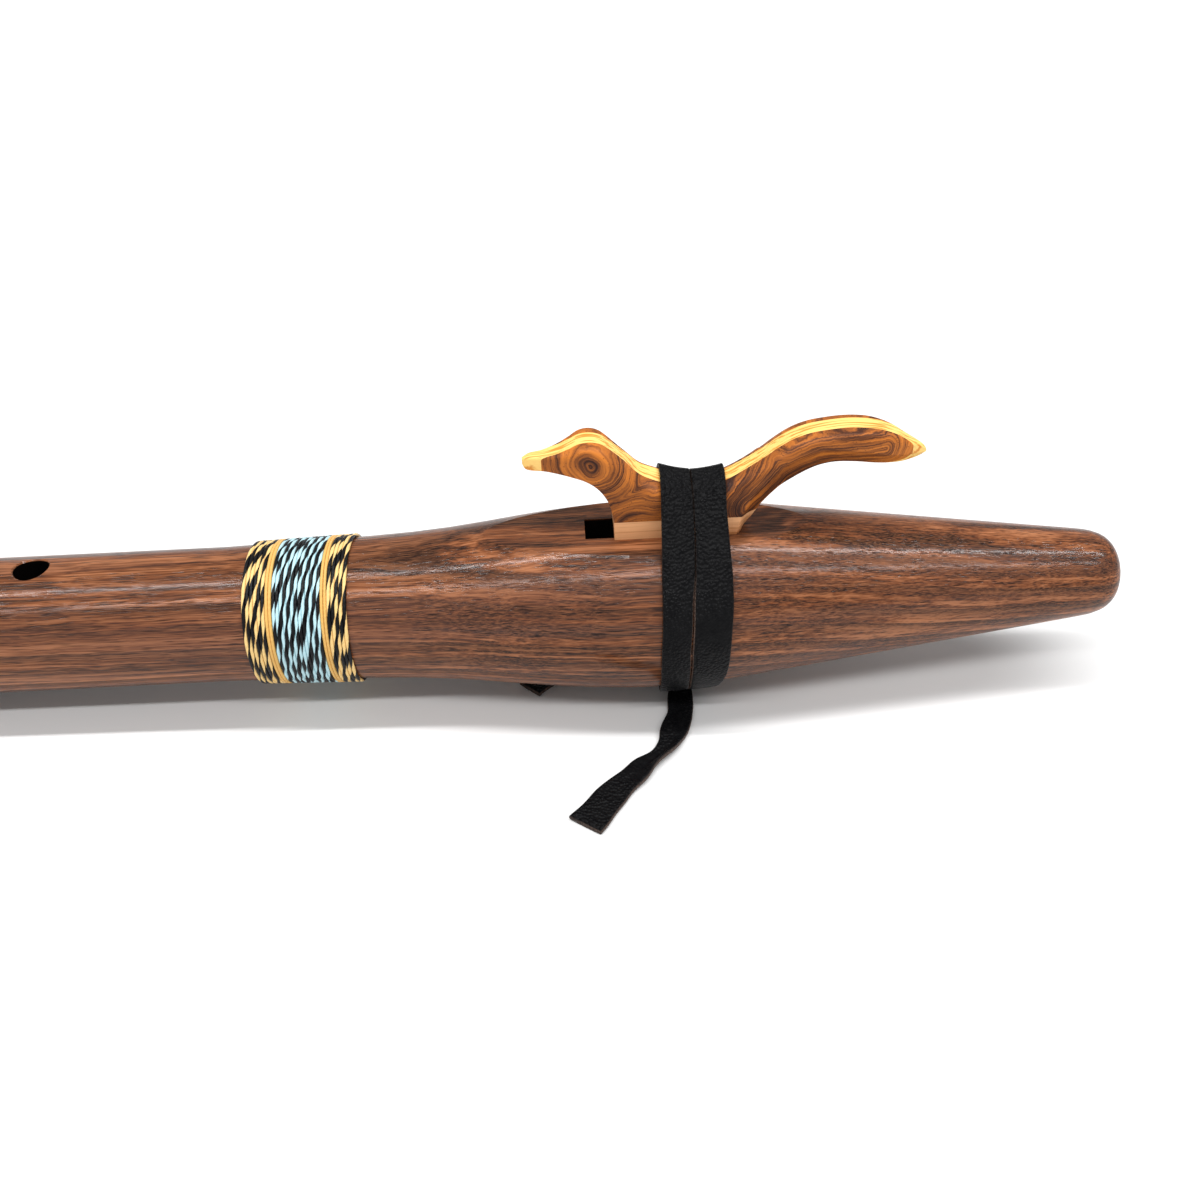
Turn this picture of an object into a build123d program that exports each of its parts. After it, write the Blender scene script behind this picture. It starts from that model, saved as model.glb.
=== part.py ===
from build123d import *
import os
from math import acos, atan2, cos, radians, sin, tan

# A six-hole flute of the Native American style, in millimetres.
#
# Frame: the origin is the centre of the bore at the foot end, +X runs along the bore to the
# mouth end, and +Z points out of the finger holes, square to the flat nest under the block.
#
# Breath goes in at the mouth end and fills the slow air chamber. It leaves by the exit hole
# in the nest, turns along the flue under the block, and meets the splitting edge of the
# window, which sounds the long sound chamber on the foot side of the partition.

# --- body ---------------------------------------------------------------------------------
TUBE_R = 17.5  # outside radius of the straight tube
BODY_LENGTH = 533.1
FOOT_ROUND = 2.0  # rounding of the foot's outer edge
TAPER_START = (300.0, 17.5)  # where the tube starts to swell, as (x, radius)
TAPER_END = (337.0, 18.6)
BELLY = [(360.0, 20.15), (380.0, 22.65), (396.0, 24.1), (410.0, 24.6), (430.0, 23.4)]
CONE_START = (444.0, 21.65)
CONE_END = (521.6, 11.86)
TIP_SHOULDER = (530.2, 8.85)

BORE_R = 11.0
WINDOW_BACK = 400.0  # rear edge of the window, where the sound chamber ends
PLUG_R = 12.0
PLUG_LENGTH = 8.0
AIR_CHAMBER_R = 12.5
AIR_CHAMBER_STRAIGHT = 445.0  # where the slow air chamber starts to narrow
AIR_CHAMBER_END = (514.0, 5.0)
BREATH_HOLE_R = 3.2
BREATH_HOLE_START = 518.0

NEST_Z = 21.05  # height of the flat that the block rests on
WINDOW = (7.2, 9.0)  # along the flute, across it
EDGE_THICKNESS = 1.0  # of the splitting edge
EDGE_RAMP = 18.0  # length of the ramp that thins it from inside
EXIT_HOLE = (6.0, 9.0)
EXIT_HOLE_X = 422.0  # centre of the slow air chamber's exit hole
FINGER_HOLE_R = 4.3
FINGER_HOLES_X = [97.6, 129.6, 160.6, 198.6, 226.6, 253.6]
RIM_CHAMFER = 0.35

# --- block, which is carved from four layers ----------------------------------------------
BLOCK_HALF = 5.5  # half of its thickness
CORE_HALF = 1.85
BASE_TOP_Z = 26.05
FLUE = (24.5, 9.0, 1.0)  # length, width and depth of the channel under the base
CREST_EASE = 0.7
KEEL = (4.0, 3.4)  # the bevel under the tail: up the cheek, and in across the bottom
THROAT = [(399.3, 30.7), (397.0, 35.6), (391.4, 38.3), (385.5, 39.3), (380.2, 39.6)]
NOSE = [(378.7, 40.6), (378.5, 42.6)]
CREST = [
    (379.8, 43.1), (384.2, 43.6), (388.6, 45.6), (393.8, 47.1), (398.0, 45.7),
    (404.7, 39.3), (411.0, 35.4), (419.4, 33.1), (428.0, 35.1), (436.6, 41.0),
    (446.2, 46.5), (458.0, 48.0), (467.0, 46.4), (473.6, 42.4),
]
TAIL_TIP = (475.9, 39.0)
UNDERSIDE = [
    (474.2, 37.4), (465.2, 37.6), (455.0, 38.4), (447.5, 36.5), (440.4, 32.0), (434.6, 26.2),
]
BASE_HEEL = (431.8, NEST_Z)
PLAN_BEAK = [(378.0, 1.0), (383.0, 1.85), (388.0, 3.3), (394.0, 4.9), (400.0, 5.6)]
PLAN_TAIL = [(454.0, 5.6), (462.0, 4.9), (467.0, 3.7), (472.0, 1.85), (476.2, 0.3)]

# --- strap, one flat leather lace ----------------------------------------------------------
LACE_THICKNESS = 1.4
LOOP_R = 24.9  # inside radius where it goes round the belly, clear of it as it slides
LOOP_FRONT = (411.0, 419.3)  # from and to, along the flute
LOOP_REAR = (419.6, 427.9)
SADDLE_TOPS = (35.6, 33.3, 35.4)  # inner top of the loops: at the front, the middle and the rear
LOOP_HALF = BLOCK_HALF + 0.1
FLOOR_SLOPE = (28.1 - TUBE_R) / 419.0  # a flute at rest leans on its foot edge and the knot
KNOT_X = (411.0, 427.0)
KNOT_HALF = 7.5
KNOT_GAP = 0.05
LONG_WIDTH = 8.0
SHORT_WIDTH = 7.6
LONG_TAIL = [
    (416.8, -7.5), (416.8, -14.5), (414.2, -23.0), (410.9, -31.5), (403.3, -38.0),
    (396.9, -44.5), (389.4, -55.2),
]
SHORT_TAIL = [
    (420.5, 7.5), (420.5, 15.5), (414.0, 21.5), (404.0, 19.5), (393.5, 12.5),
    (385.0, 3.6), (376.2, -6.2),
]

# --- thread wraps --------------------------------------------------------------------------
THREAD = 0.95  # how far the thread stands out of the wood
WRAP_ENDS = [307.8, 313.5, 315.2, 327.1, 328.7, 333.6]
WRAP_NAMES = ["wrap_outer_foot", "binding_foot", "wrap_centre", "binding_mouth", "wrap_outer_mouth"]

os.makedirs("parts", exist_ok=True)


def finish(piece, label):
    """Label a finished piece and write it under its own name."""
    piece.part.label = label
    export_step(piece.part, f"parts/{label}.step")


def floor_z(x):
    """Height of the surface that the flute lies on, below the axis, at x."""
    return -TUBE_R - FLOOR_SLOPE * x


def taper_r(x):
    """Outside radius of the body under the thread wraps."""
    share = (x - TAPER_START[0]) / (TAPER_END[0] - TAPER_START[0])
    return TAPER_START[1] + share * (TAPER_END[1] - TAPER_START[1])


def body_section():
    """Half of the body's lengthwise section: outside, breath hole, air chamber, plug seat, bore."""
    cone_slope = (CONE_END[1] - CONE_START[1]) / (CONE_END[0] - CONE_START[0])
    taper_slope = (TAPER_END[1] - TAPER_START[1]) / (TAPER_END[0] - TAPER_START[0])
    plug_end = WINDOW_BACK + PLUG_LENGTH
    with BuildSketch() as section:
        with BuildLine():
            Line((0, BORE_R), (0, TUBE_R - FOOT_ROUND))
            RadiusArc((0, TUBE_R - FOOT_ROUND), (FOOT_ROUND, TUBE_R), FOOT_ROUND)
            Polyline((FOOT_ROUND, TUBE_R), TAPER_START, TAPER_END)
            Spline(
                TAPER_END,
                *BELLY,
                CONE_START,
                tangents=[(1, taper_slope), (1, cone_slope)],
            )
            Line(CONE_START, CONE_END)
            Spline(
                CONE_END,
                TIP_SHOULDER,
                (BODY_LENGTH - 0.4, BREATH_HOLE_R),
                tangents=[(1, cone_slope), (0.28, -1)],
            )
            Polyline(
                (BODY_LENGTH - 0.4, BREATH_HOLE_R),
                (BREATH_HOLE_START, BREATH_HOLE_R),
                AIR_CHAMBER_END,
                (AIR_CHAMBER_STRAIGHT, AIR_CHAMBER_R),
                (plug_end, AIR_CHAMBER_R),
                (plug_end, PLUG_R),
                (WINDOW_BACK, PLUG_R),
                (WINDOW_BACK, BORE_R),
                (0, BORE_R),
            )
        make_face()
    return section.sketch


# --- body ---------------------------------------------------------------------------------
half_section = body_section()

with BuildPart() as body_lower_half:
    revolve(half_section, axis=Axis((0, 0, 0), (-1, 0, 0)), revolution_arc=180)
finish(body_lower_half, "body_lower_half")

with BuildPart() as body_upper_half:
    revolve(half_section, axis=Axis.X, revolution_arc=180)
    # the flat nest
    with BuildSketch(Plane.XY.offset(NEST_Z)):
        with Locations((BODY_LENGTH / 2, 0)):
            Rectangle(BODY_LENGTH, 4 * TUBE_R)
    extrude(amount=TUBE_R, mode=Mode.SUBTRACT)
    # the window, and the exit hole of the slow air chamber
    with BuildSketch(Plane.XY.offset(NEST_Z)):
        with Locations((WINDOW_BACK - WINDOW[0] / 2, 0)):
            Rectangle(*WINDOW)
        with Locations((EXIT_HOLE_X, 0)):
            Rectangle(*EXIT_HOLE)
    extrude(amount=-(NEST_Z - BORE_R / 2), mode=Mode.SUBTRACT)
    # the ramp that thins the splitting edge from inside the sound chamber
    window_front = WINDOW_BACK - WINDOW[0]
    with BuildSketch(Plane.XZ):
        Polygon(
            (window_front + 0.5, NEST_Z - EDGE_THICKNESS),
            (window_front, NEST_Z - EDGE_THICKNESS),
            (window_front - EDGE_RAMP, BORE_R / 2),
            (window_front + 0.5, BORE_R / 2),
            align=None,
        )
    extrude(amount=WINDOW[1] / 2, both=True, mode=Mode.SUBTRACT)
    # finger holes, their rims eased
    with BuildSketch(Plane.XY):
        with Locations(*[(x, 0) for x in FINGER_HOLES_X]):
            Circle(FINGER_HOLE_R)
    extrude(amount=2 * TUBE_R, mode=Mode.SUBTRACT)
    hole_edges = body_upper_half.edges().filter_by_position(Axis.X, 90, 260)
    rims = hole_edges.filter_by(lambda e: e.center().Z > TUBE_R - 1 and e.length < 30)
    chamfer(rims, RIM_CHAMFER)
finish(body_upper_half, "body_upper_half")

with BuildPart() as partition_plug:
    with BuildSketch(Plane.YZ.offset(WINDOW_BACK)):
        Circle(PLUG_R)
    extrude(amount=PLUG_LENGTH)
finish(partition_plug, "partition_plug")

for name, low, high in zip(WRAP_NAMES, WRAP_ENDS, WRAP_ENDS[1:]):
    with BuildPart() as wrap:
        with BuildSketch(Plane.XY):
            Polygon(
                (low, taper_r(low)),
                (high, taper_r(high)),
                (high, taper_r(high) + THREAD),
                (low, taper_r(low) + THREAD),
                align=None,
            )
        revolve(axis=Axis.X)
    finish(wrap, name)


# --- block ---------------------------------------------------------------------------------
def carved_block():
    """The whole block before it is parted into its layers."""
    with BuildPart() as carving:
        with BuildSketch(Plane.XZ):
            with BuildLine():
                Polyline(BASE_HEEL, (WINDOW_BACK, NEST_Z), (WINDOW_BACK, BASE_TOP_Z))
                Spline((WINDOW_BACK, BASE_TOP_Z), *THROAT, tangents=[(0, 1), (-1, 0.1)])
                Polyline(THROAT[-1], *NOSE, CREST[0])
                Spline(*CREST, TAIL_TIP, tangents=[(1, 0.1), (0.3, -1)])
                Line(TAIL_TIP, UNDERSIDE[0])
                Spline(*UNDERSIDE, BASE_HEEL, tangents=[(-1, 0), (-0.45, -1)])
            make_face()
        extrude(amount=BLOCK_HALF, both=True)
        # the bevel that thins the underside of the tail to a keel
        for side in (-1, 1):
            cheek = carving.faces().filter_by(Axis.Y).sort_by(Axis.Y)[0 if side < 0 else -1]
            keel = cheek.edges().filter_by(lambda e: e.center().X > 440 and e.center().Z < 38)
            keel = keel.sort_by(Edge.length)[-1]
            chamfer(keel, length=KEEL[0], length2=KEEL[1], reference=cheek)
        # the crest, eased along both sides
        crest = carving.edges().filter_by(lambda e: e.length > 100)
        chamfer(crest, CREST_EASE)
        # the plan: beak and tail narrow to their tips
        with BuildSketch(Plane.XY):
            with BuildLine():
                Spline(*PLAN_BEAK, tangents=[(1, 0.1), (1, 0)])
                Line(PLAN_BEAK[-1], PLAN_TAIL[0])
                Spline(*PLAN_TAIL, tangents=[(1, 0), (0.3, -1)])
                Polyline(PLAN_TAIL[-1], (PLAN_TAIL[-1][0], 0), (PLAN_BEAK[0][0], 0), PLAN_BEAK[0])
            make_face()
            mirror(about=Plane.XZ)
        extrude(amount=60, mode=Mode.INTERSECT)
    return carving.part


def layer(x, y, z):
    """A box that parts one layer from the block, given as (low, high) along each axis."""
    centre = [sum(span) / 2 for span in (x, y, z)]
    return Pos(*centre) * Box(x[1] - x[0], y[1] - y[0], z[1] - z[0])


block = carved_block()
ALONG = (370, 480)
ABOVE_BASE = (BASE_TOP_Z, 60)
base_layer = layer(ALONG, (-BLOCK_HALF, BLOCK_HALF), (0, BASE_TOP_Z))
core_layer = layer(ALONG, (-CORE_HALF, CORE_HALF), ABOVE_BASE)
near_layer = layer(ALONG, (-2 * BLOCK_HALF, -CORE_HALF), ABOVE_BASE)
far_layer = layer(ALONG, (CORE_HALF, 2 * BLOCK_HALF), ABOVE_BASE)

with BuildPart() as block_base:
    add(block)
    add(base_layer, mode=Mode.INTERSECT)
    # the flue, a shallow channel that runs from over the exit hole to the window
    with BuildSketch(Plane.XY.offset(NEST_Z)):
        with Locations((WINDOW_BACK + FLUE[0] / 2, 0)):
            Rectangle(FLUE[0], FLUE[1])
    extrude(amount=FLUE[2], mode=Mode.SUBTRACT)
finish(block_base, "block_base")

with BuildPart() as block_core:
    add(block)
    add(core_layer, mode=Mode.INTERSECT)
finish(block_core, "block_core")

with BuildPart() as block_cheek_near:
    add(block)
    add(near_layer, mode=Mode.INTERSECT)
finish(block_cheek_near, "block_cheek_near")

with BuildPart() as block_cheek_far:
    add(block)
    add(far_layer, mode=Mode.INTERSECT)
finish(block_cheek_far, "block_cheek_far")


# --- strap ---------------------------------------------------------------------------------
def loop_outline(x, top_z, spare):
    """The outline at x of a strap loop round the belly and the block, spare mm out from it."""
    radius = LOOP_R + spare
    half, top = LOOP_HALF + spare, top_z + spare
    reach = (half**2 + top**2) ** 0.5
    touch = atan2(half, top) + acos(radius / reach)  # angle from +Z where the side leaves the belly
    side = (radius * sin(touch), radius * cos(touch))
    with BuildSketch(Plane.YZ.offset(x)) as outline:
        with BuildLine():
            Polyline(side, (half, top), (-half, top), (-side[0], side[1]))
            ThreePointArc((-side[0], side[1]), (0, -radius), side)
        make_face()
    return outline.sketch


def strap_loop(span, tops):
    """One turn of the lace, its top sloping along the saddle of the block."""
    overrun = 0.5  # how far the hole through the loop is cut past its ends
    rise = overrun * (tops[1] - tops[0]) / (span[1] - span[0])
    outside = [loop_outline(x, top, LACE_THICKNESS) for x, top in zip(span, tops)]
    inside = [
        loop_outline(span[0] - overrun, tops[0] - rise, 0),
        loop_outline(span[1] + overrun, tops[1] + rise, 0),
    ]
    with BuildPart() as turn:
        loft(outside, ruled=True)
        loft(inside, ruled=True, mode=Mode.SUBTRACT)
    return turn


finish(strap_loop(LOOP_FRONT, SADDLE_TOPS[:2]), "strap_turn_front")
finish(strap_loop(LOOP_REAR, SADDLE_TOPS[1:]), "strap_turn_rear")

with BuildPart() as strap_knot:
    with BuildSketch(Plane.XZ):
        Polygon(
            (KNOT_X[0], floor_z(KNOT_X[0])),
            (KNOT_X[1], floor_z(KNOT_X[1])),
            (KNOT_X[1], -TUBE_R),
            (KNOT_X[0], -TUBE_R),
            align=None,
        )
    extrude(amount=KNOT_HALF, both=True)
    with BuildSketch(Plane.YZ.offset(KNOT_X[0] - 1)):
        Circle(LOOP_R + LACE_THICKNESS + KNOT_GAP)
    extrude(amount=KNOT_X[1] - KNOT_X[0] + 2, mode=Mode.SUBTRACT)
finish(strap_knot, "strap_knot")


def tail(route, width):
    """A free end of the lace, lying flat on the floor along route, from the knot outwards."""
    points = [Vector(x, y, floor_z(x) + LACE_THICKNESS / 2) for x, y in route]
    runs = [b - a for a, b in zip(points, points[1:])]
    bends = []
    for before, after in zip(runs, runs[1:]):
        half_turn = radians(before.get_angle(after) / 2)
        bends.append(0.45 * min(before.length, after.length) / tan(half_turn))
    print("bend radii", [round(bend, 1) for bend in bends])
    floor = Plane(points[0], z_dir=(FLOOR_SLOPE, 0, 1))
    with BuildPart() as end:
        with BuildLine():
            line = FilletPolyline(*points, radius=bends)
        start = Plane(points[0], x_dir=floor.z_dir.cross(runs[0]), z_dir=runs[0])
        with BuildSketch(start):
            Rectangle(width, LACE_THICKNESS)
        sweep()
    section = width * LACE_THICKNESS
    print("volume", round(end.part.volume, 1), "section x length", round(section * line.length, 1))
    return end


finish(tail(LONG_TAIL, LONG_WIDTH), "strap_tail_long")
finish(tail(SHORT_TAIL, SHORT_WIDTH), "strap_tail_short")
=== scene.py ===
"""The looks of a six-hole flute of the Native American style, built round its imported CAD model.

Every length below is in millimetres unless its comment says otherwise, in the row frame: the origin
is the centre of the bore at the foot end, +X runs along the bore to the mouth end, and +Z is square
to the nest under the block.
"""

import math

import bmesh
import bpy
from mathutils import Matrix, Vector
from mathutils import noise as hashed


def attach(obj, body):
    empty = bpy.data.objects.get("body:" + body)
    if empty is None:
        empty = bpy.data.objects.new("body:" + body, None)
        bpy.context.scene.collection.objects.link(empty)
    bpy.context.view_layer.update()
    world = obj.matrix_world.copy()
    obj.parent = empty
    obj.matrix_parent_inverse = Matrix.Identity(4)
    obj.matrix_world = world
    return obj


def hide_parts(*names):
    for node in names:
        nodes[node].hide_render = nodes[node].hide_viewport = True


MM = 0.001  # Blender works in metres

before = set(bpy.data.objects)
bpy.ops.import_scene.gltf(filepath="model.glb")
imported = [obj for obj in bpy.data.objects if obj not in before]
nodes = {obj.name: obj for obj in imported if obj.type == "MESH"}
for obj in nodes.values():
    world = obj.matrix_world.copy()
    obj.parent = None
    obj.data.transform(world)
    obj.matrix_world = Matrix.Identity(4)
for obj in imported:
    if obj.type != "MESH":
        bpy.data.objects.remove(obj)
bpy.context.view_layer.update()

# --- sizes shared with the CAD source --------------------------------------------------------
TUBE_R = 17.5
KNOT_REST = (419.0, 28.1)  # where the knot meets the floor: x, and how far down it is
FLOOR_SLOPE = (KNOT_REST[1] - TUBE_R) / KNOT_REST[0]  # the flute leans on its foot edge and the knot
TAPER_START = (300.0, 17.5)  # x and radius, as in TAPER_END and BELLY
TAPER_END = (337.0, 18.6)
BELLY = [(396.0, 24.1), (403.0, 24.5), (410.0, 24.6), (420.0, 24.25), (430.0, 23.4), (444.0, 21.65)]

# --- camera ----------------------------------------------------------------------------------
CAMERA_PLACE = (389.57, -227.47, 170.70)
CAMERA_RIGHT = (0.99852, -0.04791, -0.02565)
CAMERA_UP = (0.04935, 0.60191, 0.79704)
CAMERA_LENS = 32.4
CAMERA_SENSOR = 36.0


def floor_z(x):
    """Height of the surface that the flute lies on, at x."""
    return -TUBE_R - FLOOR_SLOPE * x


def lerp(a, b, t):
    """The value a share t of the way from a to b."""
    return a + (b - a) * t


def smooth(t):
    """0 below 0, 1 above 1, and an easy curve between."""
    t = min(1.0, max(0.0, t))
    return t * t * (3.0 - 2.0 * t)


def wander(s, seed, reach=1.0):
    """A slow random wave along s, from about -reach to reach, the same on each run."""
    return reach * 1.6 * hashed.noise(Vector((s, seed * 7.31, 0.37)))


def table_value(table, x):
    """Straight-line value at x from a table of (x, value)."""
    for (x0, v0), (x1, v1) in zip(table, table[1:]):
        if x <= x1:
            return lerp(v0, v1, (x - x0) / (x1 - x0))
    return table[-1][1]


def curve_value(table, x):
    """Value at x of a smooth curve through a table of (x, value)."""
    if x <= table[0][0]:
        return table[0][1]
    if x >= table[-1][0]:
        return table[-1][1]
    i = max(k for k in range(len(table) - 1) if table[k][0] <= x)
    slopes = []
    for k in (i, i + 1):
        a, b = table[max(k - 1, 0)], table[min(k + 1, len(table) - 1)]
        slopes.append((b[1] - a[1]) / (b[0] - a[0]))
    (x0, v0), (x1, v1) = table[i], table[i + 1]
    run = x1 - x0
    t = (x - x0) / run
    start = (2 * t**3 - 3 * t**2 + 1) * v0 + (t**3 - 2 * t**2 + t) * run * slopes[0]
    return start + (3 * t**2 - 2 * t**3) * v1 + (t**3 - t**2) * run * slopes[1]


def taper_r(x):
    """Radius of the tube at x, under the thread."""
    share = (x - TAPER_START[0]) / (TAPER_END[0] - TAPER_START[0])
    return lerp(TAPER_START[1], TAPER_END[1], share)


def mesh_piece(name, points, faces, uvs=None, values=None):
    """A smooth-shaded mesh object from points in mm. uvs holds one (u, v) per corner of each face,
    and values one number per point, kept as the attribute "wear"."""
    mesh = bpy.data.meshes.new(name)
    mesh.from_pydata([Vector(p) * MM for p in points], [], faces)
    if uvs is not None:
        layer = mesh.uv_layers.new(name="UVMap")
        flat = [uv for face in uvs for uv in face]
        for loop, uv in zip(layer.data, flat):
            loop.uv = uv
    if values is not None:
        wear = mesh.attributes.new("wear", "FLOAT", "POINT")
        for item, value in zip(wear.data, values):
            item.value = value
    mesh.polygons.foreach_set("use_smooth", [True] * len(mesh.polygons))
    mesh.validate()
    piece = bpy.data.objects.new(name, mesh)
    bpy.context.scene.collection.objects.link(piece)
    return piece


# --- materials -------------------------------------------------------------------------------
class Shader:
    """Short calls for the nodes of one material. Lengths in its vectors are in millimetres."""

    def __init__(self, name, roughness=0.5):
        self.material = bpy.data.materials.new(name)
        self.material.use_nodes = True
        self.tree = self.material.node_tree
        self.tree.nodes.clear()
        output = self.node("ShaderNodeOutputMaterial")
        self.surface = self.node("ShaderNodeBsdfPrincipled")
        self.surface.inputs["Roughness"].default_value = roughness
        self.tree.links.new(self.surface.outputs[0], output.inputs["Surface"])

    def node(self, kind, **settings):
        made = self.tree.nodes.new(kind)
        for key, value in settings.items():
            setattr(made, key, value)
        return made

    def put(self, socket, value):
        """Links a socket, or sets a plain value."""
        if isinstance(value, bpy.types.NodeSocket):
            self.tree.links.new(value, socket)
        else:
            socket.default_value = value

    def math(self, operation, a, b=0.0, clamp=False):
        made = self.node("ShaderNodeMath", operation=operation, use_clamp=clamp)
        self.put(made.inputs[0], a)
        self.put(made.inputs[1], b)
        return made.outputs[0]

    def vector(self, operation, a, b=(0.0, 0.0, 0.0)):
        made = self.node("ShaderNodeVectorMath", operation=operation)
        self.put(made.inputs[0], a)
        self.put(made.inputs[1], b)
        return made.outputs["Value" if operation in ("LENGTH", "DISTANCE") else "Vector"]

    def place(self):
        """The point on the object, in the row frame, in millimetres."""
        made = self.node("ShaderNodeTexCoord")
        return self.vector("MULTIPLY", made.outputs["Object"], (1 / MM, 1 / MM, 1 / MM))

    def uv(self):
        return self.node("ShaderNodeTexCoord").outputs["UV"]

    def split(self, vector):
        made = self.node("ShaderNodeSeparateXYZ")
        self.put(made.inputs[0], vector)
        return made.outputs

    def join(self, x=0.0, y=0.0, z=0.0):
        made = self.node("ShaderNodeCombineXYZ")
        for socket, value in zip(made.inputs, (x, y, z)):
            self.put(socket, value)
        return made.outputs[0]

    def attribute(self, name):
        return self.node("ShaderNodeAttribute", attribute_name=name).outputs["Fac"]

    def noise(self, vector, size, detail=2.0, roughness=0.5, colour=False):
        """Smooth noise from 0 to 1. size is its grain along x, y and z, in the vector's units."""
        made = self.node("ShaderNodeTexNoise")
        self.put(made.inputs["Vector"], self.vector("DIVIDE", vector, size))
        made.inputs["Scale"].default_value = 1.0
        made.inputs["Detail"].default_value = detail
        made.inputs["Roughness"].default_value = roughness
        return made.outputs["Color" if colour else "Fac"]

    def cells(self, vector, size, feature="F1", softness=None, output="Distance"):
        made = self.node("ShaderNodeTexVoronoi", feature=feature)
        self.put(made.inputs["Vector"], self.vector("DIVIDE", vector, size))
        made.inputs["Scale"].default_value = 1.0
        if softness is not None:
            made.inputs["Smoothness"].default_value = softness
        return made.outputs[output]

    def span(self, value, low, high, to_low=0.0, to_high=1.0, smooth_step=False):
        """value taken from low..high to to_low..to_high, and held at the ends."""
        made = self.node("ShaderNodeMapRange", clamp=True)
        if smooth_step:
            made.interpolation_type = "SMOOTHSTEP"
        for socket, number in zip(made.inputs, (value, low, high, to_low, to_high)):
            self.put(socket, number)
        return made.outputs[0]

    def ramp(self, value, *stops):
        """Colours at places from 0 to 1, given as (place, (r, g, b))."""
        made = self.node("ShaderNodeValToRGB")
        elements = made.color_ramp.elements
        while len(elements) < len(stops):
            elements.new(0.5)
        for element, (place, colour) in zip(elements, stops):
            element.position = place
            element.color = (*colour, 1.0)
        self.put(made.inputs[0], value)
        return made.outputs["Color"]

    def mix(self, share, a, b, blend="MIX"):
        made = self.node("ShaderNodeMix", data_type="RGBA", blend_type=blend)
        self.put(made.inputs["Factor"], share)
        for socket, value in ((made.inputs[6], a), (made.inputs[7], b)):
            self.put(socket, value if isinstance(value, bpy.types.NodeSocket) else (*value, 1.0))
        return made.outputs[2]

    def bump(self, height, depth, strength=1.0, under=None):
        """Relief of height 0..1 that is depth mm deep."""
        made = self.node("ShaderNodeBump")
        made.inputs["Strength"].default_value = strength
        made.inputs["Distance"].default_value = depth * MM
        self.put(made.inputs["Height"], height)
        if under is not None:
            self.put(made.inputs["Normal"], under)
        return made.outputs[0]

    def finish(self, colour=None, roughness=None, normal=None, **fixed):
        """Sets the shader's linked sockets, and the fixed ones by name, and returns the material."""
        for name, value in (("Base Color", colour), ("Roughness", roughness), ("Normal", normal),
                            ("Coat Normal", normal)):
            if value is not None:
                self.put(self.surface.inputs[name], value)
        for name, value in fixed.items():
            self.surface.inputs[name.replace("_", " ")].default_value = value
        return self.material


WALNUT = {
    "pale": (0.36, 0.140, 0.060),
    "warm": (0.150, 0.044, 0.0135),
    "mid": (0.060, 0.018, 0.0085),
    "dark": (0.007, 0.003, 0.0025),
    "pore": (0.007, 0.003, 0.0025),
    "grey": (0.105, 0.052, 0.042),
    # painted shade, near black, for the bore and the walls of the holes
    "inside": (0.003, 0.002, 0.002),
}
NEST_Z = 21.05
GROWTH_PITCH = 4.7  # from one dark growth line to the next
LAYER_TILT = 0.22  # slope of the growth layers across the flute
LAYER_DIP = 16.5  # how far they dip from the belly to the mouth end


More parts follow.
